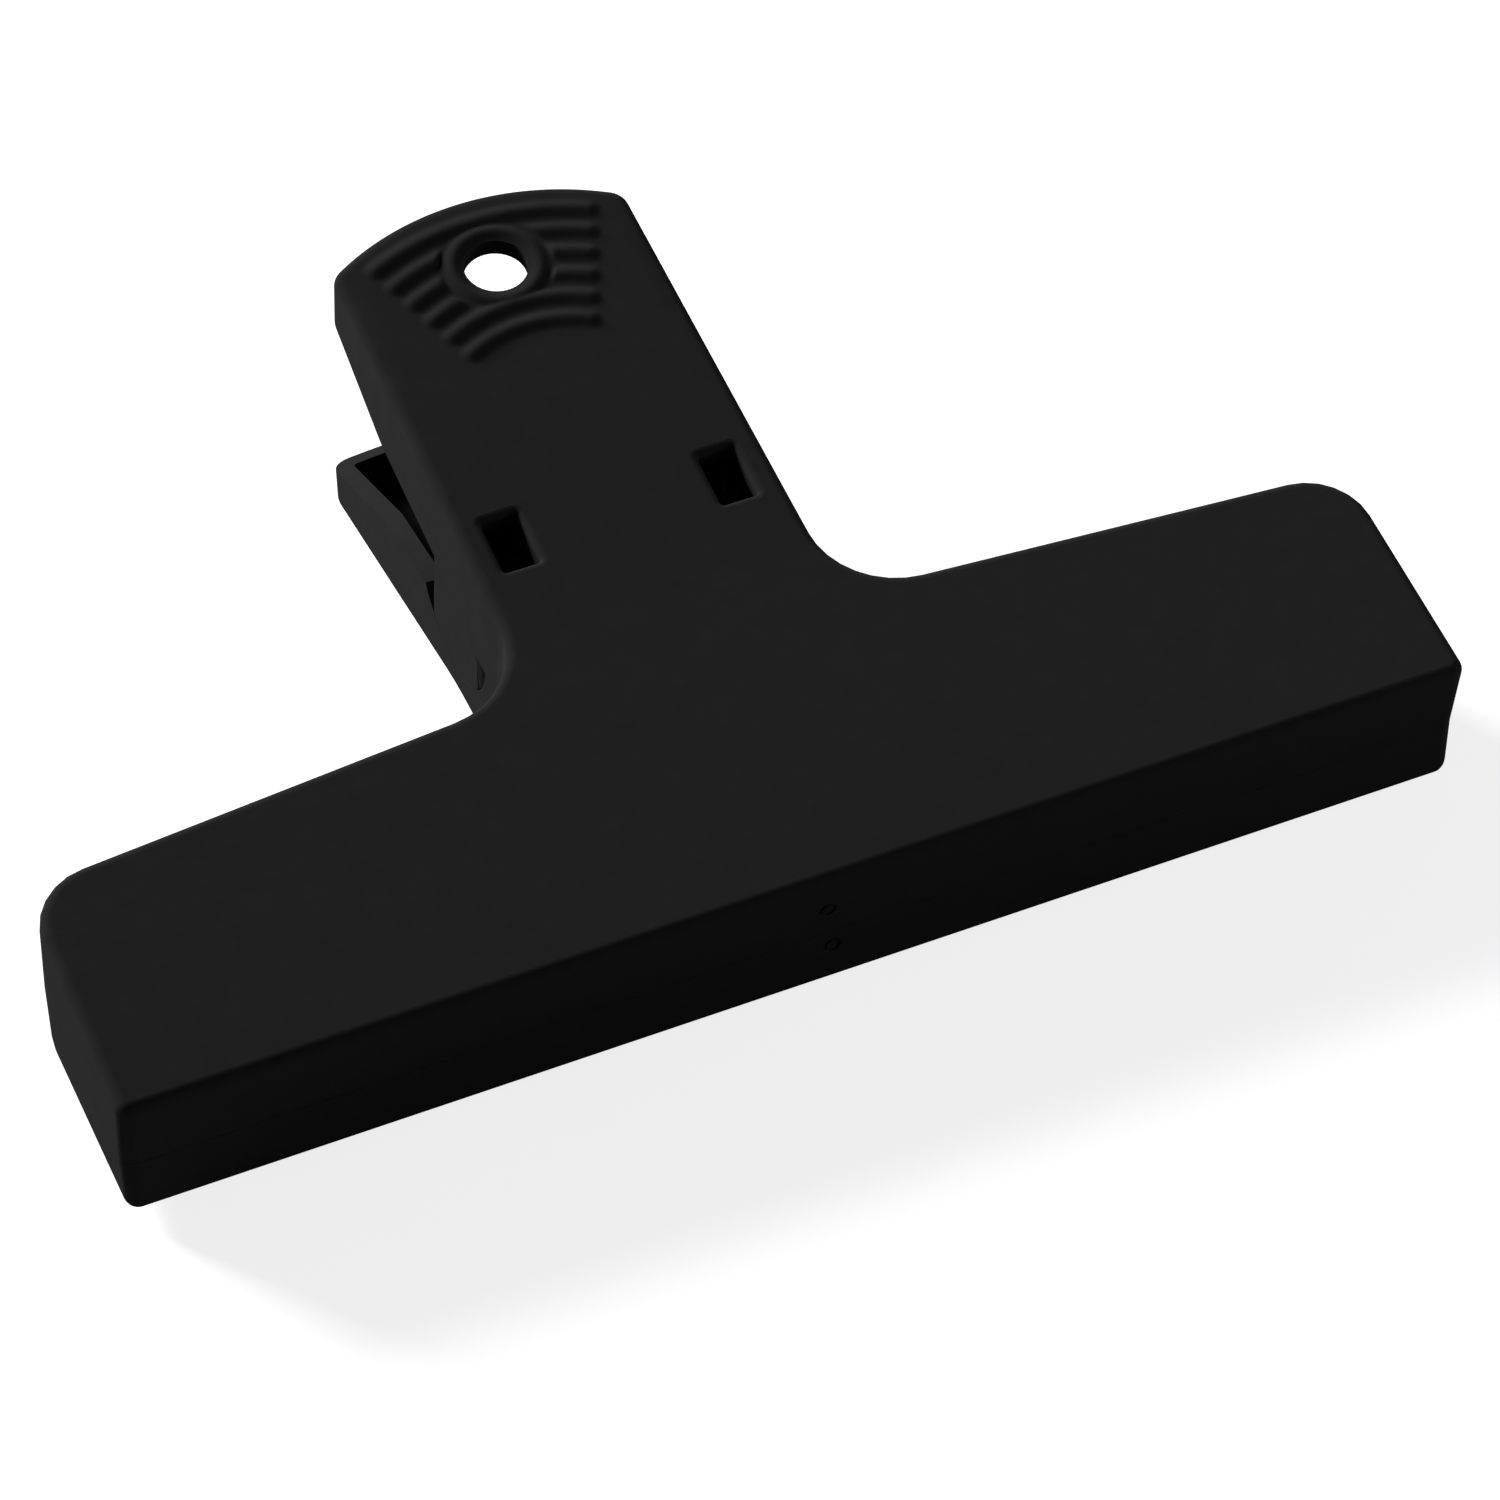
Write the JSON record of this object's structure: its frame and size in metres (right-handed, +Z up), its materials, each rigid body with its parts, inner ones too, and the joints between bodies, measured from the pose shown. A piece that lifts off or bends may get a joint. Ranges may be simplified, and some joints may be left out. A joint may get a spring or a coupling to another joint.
{
  "type": "spring clip",
  "caption": "Wide T-shaped plastic spring clip: two hollow jaw halves on a hidden pin, shut by a torsion spring, with ridged handle and hang hole.",
  "frame": {"origin": "middle of the footprint, at the level of the table that the clip lies on", "axes": "+Z up, +X along the jaws, +Y from the jaws to the handles' ends"},
  "size_m": [0.152, 0.1014, 0.0415],
  "materials": {
    "moulded_plastic": "fine satin grain, as moulded",
    "pin_steel": "plain drawn",
    "spring_steel": "plain drawn"
  },
  "bodies": {
    "back_jaw": {"lower_half": "moulded_plastic", "pivot_pin": "pin_steel", "torsion_spring": "spring_steel"},
    "front_jaw": {"upper_half": "moulded_plastic"}
  },
  "joints": [
    {"name": "jaw_pivot", "type": "hinge", "parent": "back_jaw", "child": "front_jaw", "pos_m": [0, 0.0068, 0.01894], "axis": [-1, 0, 0], "range_deg": [0, 32], "stiffness_Nm_per_rad": 0.5, "springref_deg": -40.11, "deforming": ["torsion_spring"]}
  ]
}
